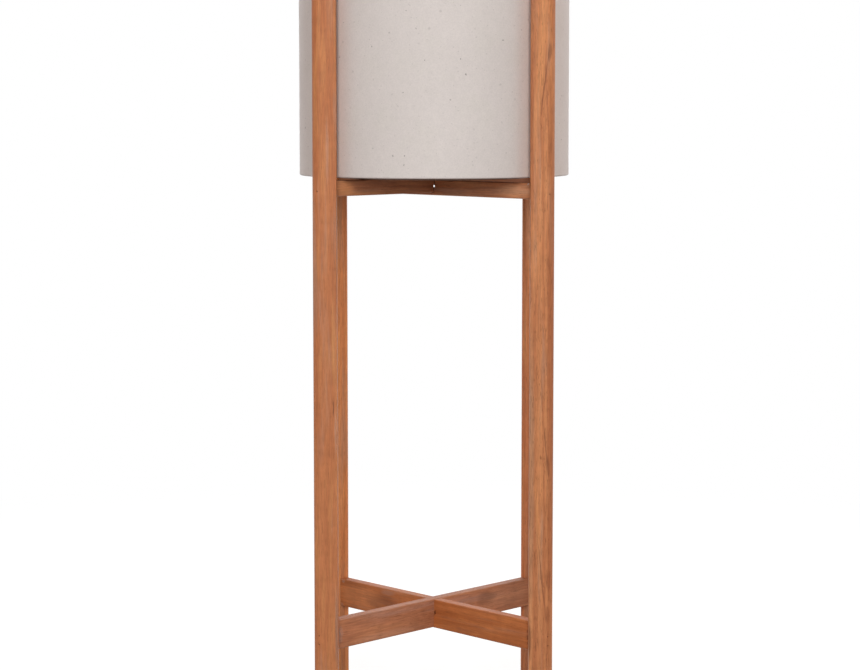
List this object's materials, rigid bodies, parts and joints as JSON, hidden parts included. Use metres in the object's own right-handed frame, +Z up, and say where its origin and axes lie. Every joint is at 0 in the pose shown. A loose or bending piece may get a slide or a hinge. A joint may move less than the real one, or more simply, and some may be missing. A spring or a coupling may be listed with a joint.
{
  "type": "planter with stand",
  "caption": "Straight stoneware cylinder pot standing on a half-lapped cross between the square legs of a tall hardwood stand, from which it lifts out.",
  "frame": {"origin": "on the floor, in the middle of the stand", "axes": "+Z up along the pot's axis, -Y to the front, so the bars run along the diagonals of X and Y"},
  "size_m": [0.3, 0.3, 0.8993],
  "materials": {
    "stoneware": "satin",
    "leg_wood": "satin",
    "bar_wood": "satin",
    "nail_steel": "satin"
  },
  "bodies": {
    "stand": {"leg_front_left": "leg_wood", "leg_front_right": "leg_wood", "leg_back_left": "leg_wood", "leg_back_right": "leg_wood", "lower_bar_over": "bar_wood", "lower_bar_under": "bar_wood", "upper_bar_over": "bar_wood", "upper_bar_under": "bar_wood", "nails": "nail_steel"},
    "pot": {"pot": "stoneware"}
  },
  "joints": [
    {"name": "pot_lift", "type": "slide", "parent": "stand", "child": "pot", "axis": [0, 0, 1], "range_m": [0, 0.26]}
  ]
}
